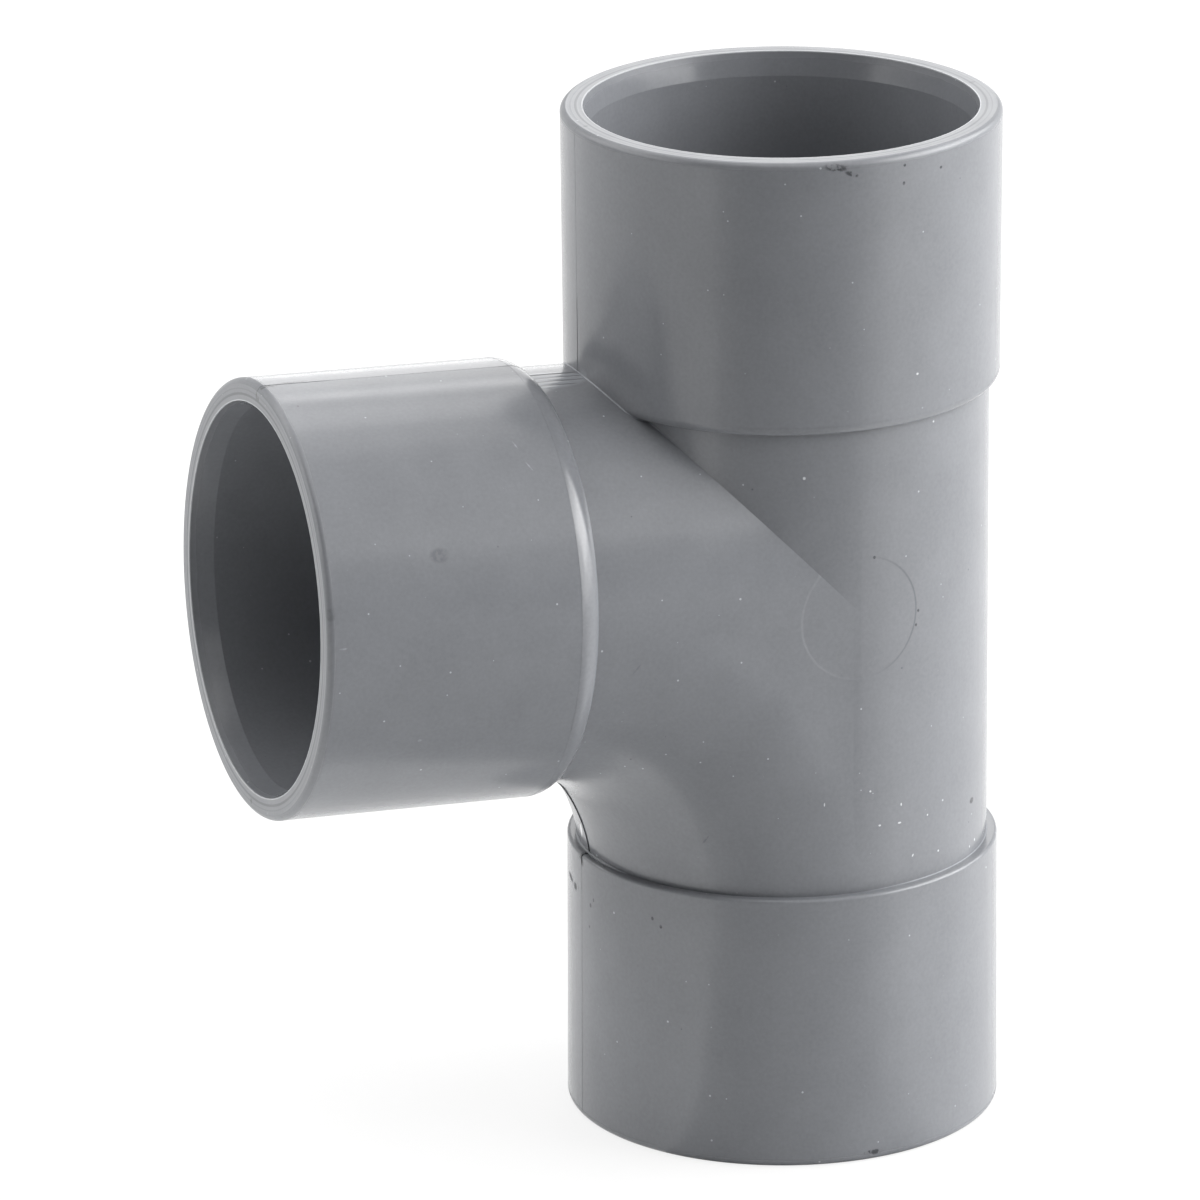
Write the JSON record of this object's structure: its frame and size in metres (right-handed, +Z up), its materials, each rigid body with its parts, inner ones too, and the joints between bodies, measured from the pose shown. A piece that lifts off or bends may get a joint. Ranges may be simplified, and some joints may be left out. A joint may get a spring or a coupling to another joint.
{
  "type": "swept waste-pipe tee",
  "caption": "Grey plastic swept tee for waste pipe, with a plain socket at each end of its run and on its slightly rising branch, for solvent-welded pipe.",
  "frame": {"origin": "centre of the lower mouth's rim, on the run's axis; the tee stands on that rim", "axes": "+Z up along the run, -X towards the branch's mouth, and Y across the plane of symmetry"},
  "size_m": [0.0827, 0.046, 0.1096],
  "materials": {
    "pvc_grey": "injection-moulded grey PVC-U, semi-gloss, with light dust and scuffs"
  },
  "bodies": {
    "root": {"tee_body": "pvc_grey"}
  },
  "joints": []
}
